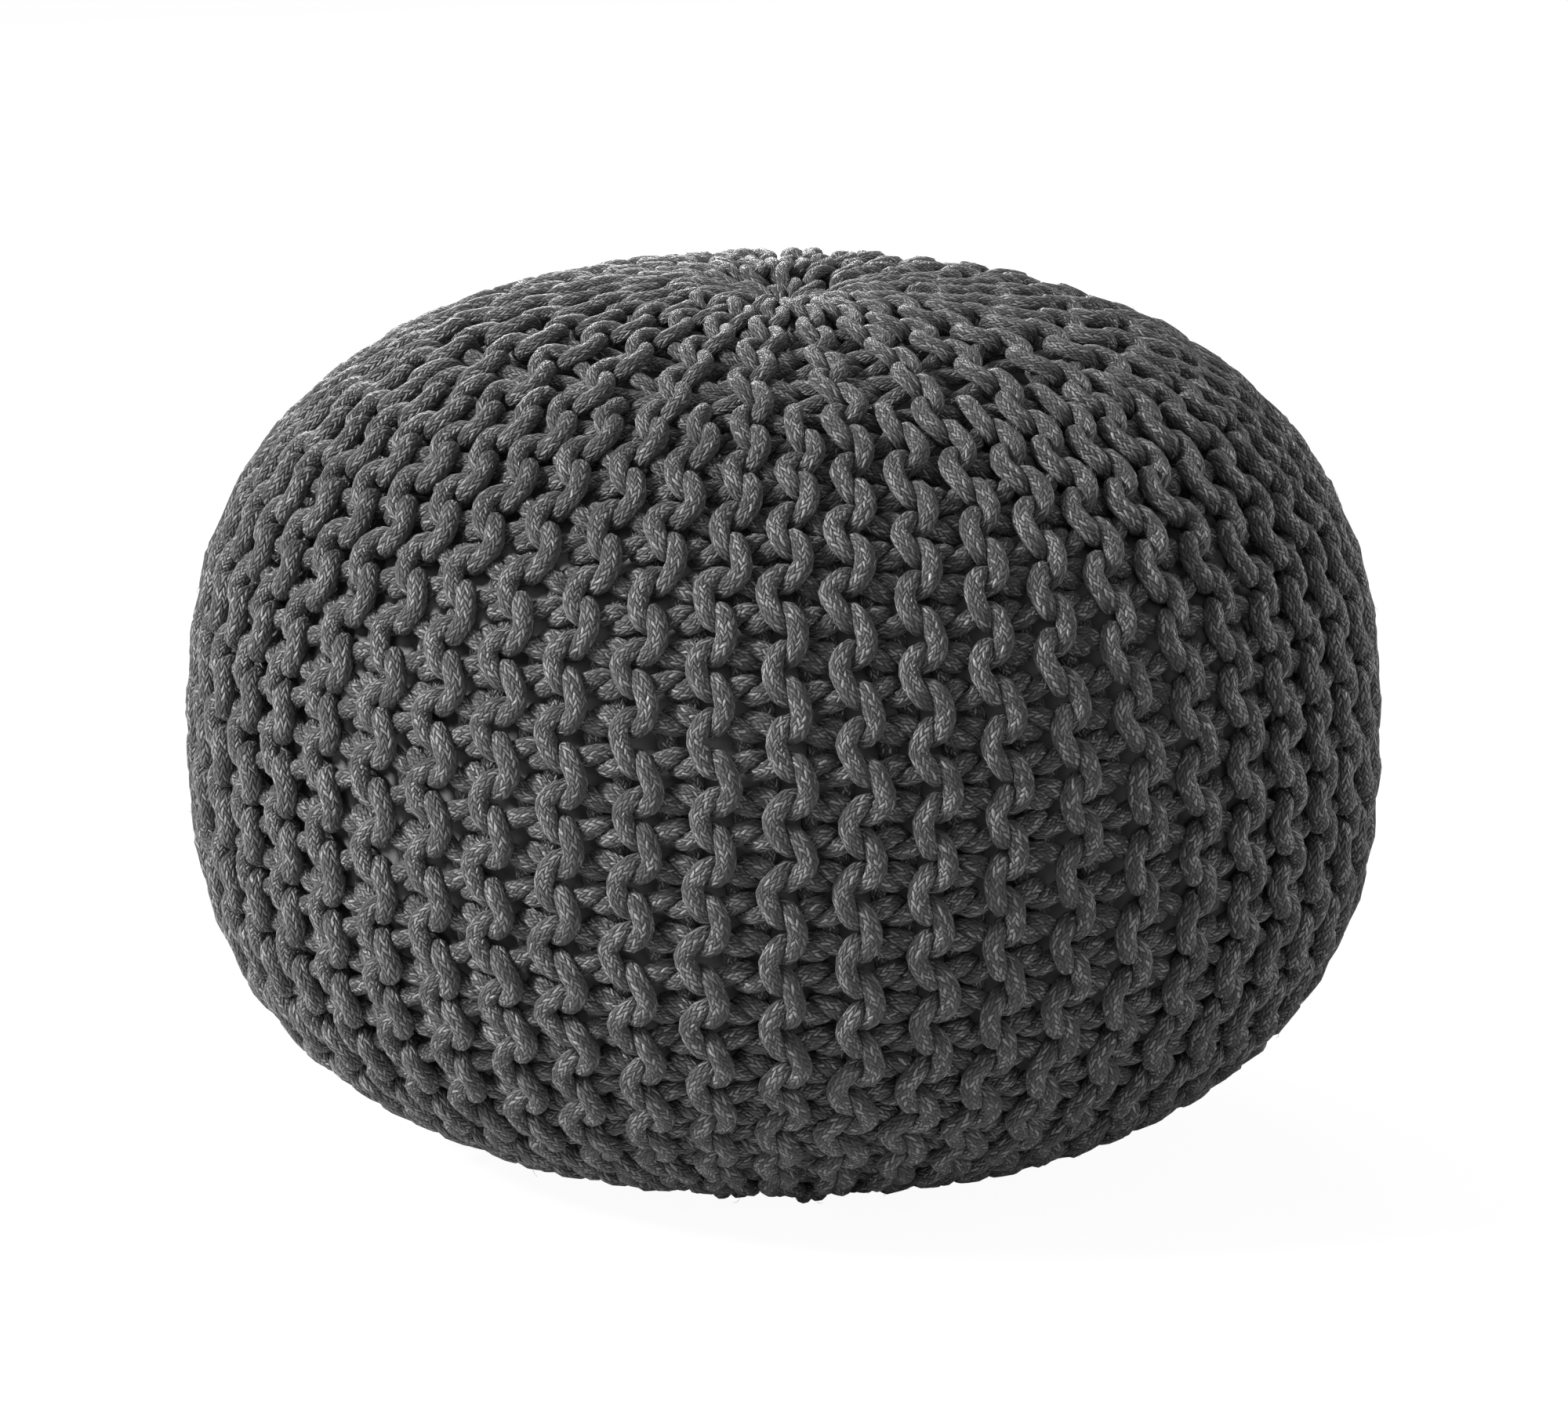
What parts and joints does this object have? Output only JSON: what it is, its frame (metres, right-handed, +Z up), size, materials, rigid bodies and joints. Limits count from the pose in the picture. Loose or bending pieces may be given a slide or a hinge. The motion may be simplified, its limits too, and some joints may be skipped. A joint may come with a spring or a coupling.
{
  "type": "knitted cord pouf",
  "caption": "Round hand-knitted cord pouf, a soft stool or footrest: garter-stitch ridges run from the top to the underside over a round filled liner, flat where it rests.",
  "frame": {"origin": "on the ground, under the middle of the pouf's flat underside", "axes": "+Z is up along the pouf's round axis, which is also its shortest extent; the front is seen from -Y"},
  "size_m": [0.5, 0.5, 0.3628],
  "materials": {
    "cotton_cord": "thick braided cotton cord, charcoal grey with paler flecked fibres, matt with a soft sheen",
    "liner_cloth": "plain smooth woven cloth, charcoal grey, matt"
  },
  "bodies": {
    "root": {"knit_cover": "cotton_cord", "liner": "liner_cloth"}
  },
  "joints": []
}
